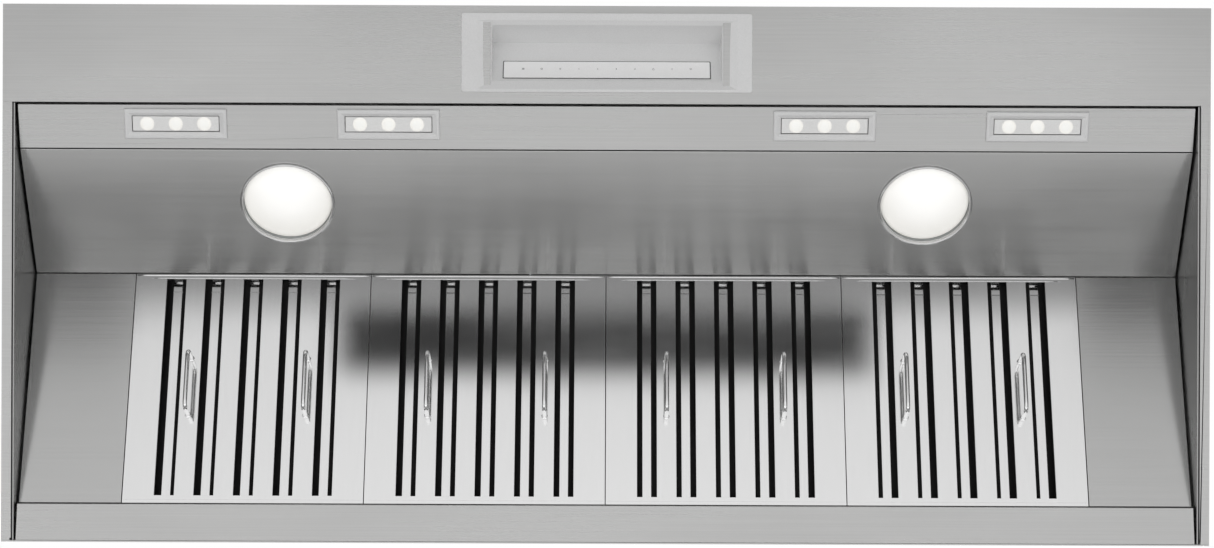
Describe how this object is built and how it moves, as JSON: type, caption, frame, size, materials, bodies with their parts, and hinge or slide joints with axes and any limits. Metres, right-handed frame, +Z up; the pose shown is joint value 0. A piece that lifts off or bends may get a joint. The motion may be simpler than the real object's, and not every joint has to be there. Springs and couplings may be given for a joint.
{
  "type": "island range hood",
  "caption": "Ceiling-hung stainless canopy hood with slanted baffle filters, light bars, heat lamps, front touch controls, blower and telescoping chimney cover.",
  "frame": {"origin": "centre of the ceiling plate's top face, on the ceiling", "axes": "+Z up, +X along the canopy's length to the user's right, -Y towards the user and the controls"},
  "size_m": [1.37, 0.61, 0.9618],
  "materials": {
    "canopy_steel": "brushed stainless steel, grain along the hood's length",
    "filter_steel": "bright polished stainless steel",
    "frame_steel": "galvanised sheet",
    "trim_metal": "rolled bright ring",
    "bezel_plastic": "light grey satin",
    "touch_plastic": "light grey with small dark marks",
    "led_diffuser": "light grey bar with three warm lenses",
    "lamp_glass": "frosted, lit warm white",
    "lamp_ceramic": "glazed",
    "board_laminate": "solder mask",
    "motor_aluminium": "dark painted die casting"
  },
  "bodies": {
    "root": {"canopy_shell": "canopy_steel", "side_liner_left": "canopy_steel", "side_liner_right": "canopy_steel", "rear_rail": "canopy_steel", "grease_channel": "canopy_steel", "light_panel": "canopy_steel", "lamp_panel": "canopy_steel", "filler_panel_left": "canopy_steel", "filler_panel_right": "canopy_steel", "heat_lamp_left_trim": "trim_metal", "heat_lamp_left_can": "frame_steel", "heat_lamp_left_socket": "lamp_ceramic", "heat_lamp_left_bulb": "lamp_glass", "heat_lamp_right_trim": "trim_metal", "heat_lamp_right_can": "frame_steel", "heat_lamp_right_socket": "lamp_ceramic", "heat_lamp_right_bulb": "lamp_glass", "light_bar_1_bezel": "bezel_plastic", "light_bar_1_module": "led_diffuser", "light_bar_2_bezel": "bezel_plastic", "light_bar_2_module": "led_diffuser", "light_bar_3_bezel": "bezel_plastic", "light_bar_3_module": "led_diffuser", "light_bar_4_bezel": "bezel_plastic", "light_bar_4_module": "led_diffuser", "control_housing": "bezel_plastic", "touch_strip": "touch_plastic", "control_board": "board_laminate", "blower_housing": "frame_steel", "blower_motor": "motor_aluminium", "motor_bracket": "frame_steel", "duct_collar": "frame_steel", "damper_rod": "frame_steel", "ceiling_plate": "frame_steel", "frame_upper": "frame_steel", "frame_lower": "frame_steel", "chimney_upper": "canopy_steel", "junction_box": "frame_steel", "junction_box_lid": "frame_steel"},
    "chimney_lower_cover": {"chimney_lower": "canopy_steel"},
    "rotor": {"impeller": "frame_steel", "motor_shaft": "frame_steel"},
    "damper_rear": {"damper_flap_rear": "frame_steel"},
    "damper_front": {"damper_flap_front": "frame_steel"},
    "filter_1": {"filter_1_frame": "filter_steel", "filter_1_baffles": "filter_steel", "filter_1_handle_left": "filter_steel", "filter_1_handle_right": "filter_steel"},
    "filter_2": {"filter_2_frame": "filter_steel", "filter_2_baffles": "filter_steel", "filter_2_handle_left": "filter_steel", "filter_2_handle_right": "filter_steel"},
    "filter_3": {"filter_3_frame": "filter_steel", "filter_3_baffles": "filter_steel", "filter_3_handle_left": "filter_steel", "filter_3_handle_right": "filter_steel"},
    "filter_4": {"filter_4_frame": "filter_steel", "filter_4_baffles": "filter_steel", "filter_4_handle_left": "filter_steel", "filter_4_handle_right": "filter_steel"}
  },
  "joints": [
    {"name": "filter_1_swing", "type": "hinge", "parent": "root", "child": "filter_1", "pos_m": [-0.4137, 0.2618, -0.942], "axis": [1, 0, 0], "range_deg": [0, 65]},
    {"name": "filter_2_swing", "type": "hinge", "parent": "root", "child": "filter_2", "pos_m": [-0.1379, 0.2618, -0.942], "axis": [1, 0, 0], "range_deg": [0, 65]},
    {"name": "filter_3_swing", "type": "hinge", "parent": "root", "child": "filter_3", "pos_m": [0.1379, 0.2618, -0.942], "axis": [1, 0, 0], "range_deg": [0, 65]},
    {"name": "filter_4_swing", "type": "hinge", "parent": "root", "child": "filter_4", "pos_m": [0.4137, 0.2618, -0.942], "axis": [1, 0, 0], "range_deg": [0, 65]},
    {"name": "impeller_spin", "type": "hinge", "parent": "root", "child": "rotor", "pos_m": [0, 0, -0.674], "axis": [1, 0, 0], "continuous": true},
    {"name": "damper_rear_swing", "type": "hinge", "parent": "root", "child": "damper_rear", "pos_m": [0, 0, -0.4852], "axis": [1, 0, 0], "range_deg": [0, 78]},
    {"name": "damper_front_swing", "type": "hinge", "parent": "root", "child": "damper_front", "pos_m": [0, 0, -0.4852], "axis": [-1, 0, 0], "range_deg": [0, 78]},
    {"name": "chimney_lower_slide", "type": "slide", "parent": "root", "child": "chimney_lower_cover", "axis": [0, 0, 1], "range_m": [0, 0.27]}
  ]
}
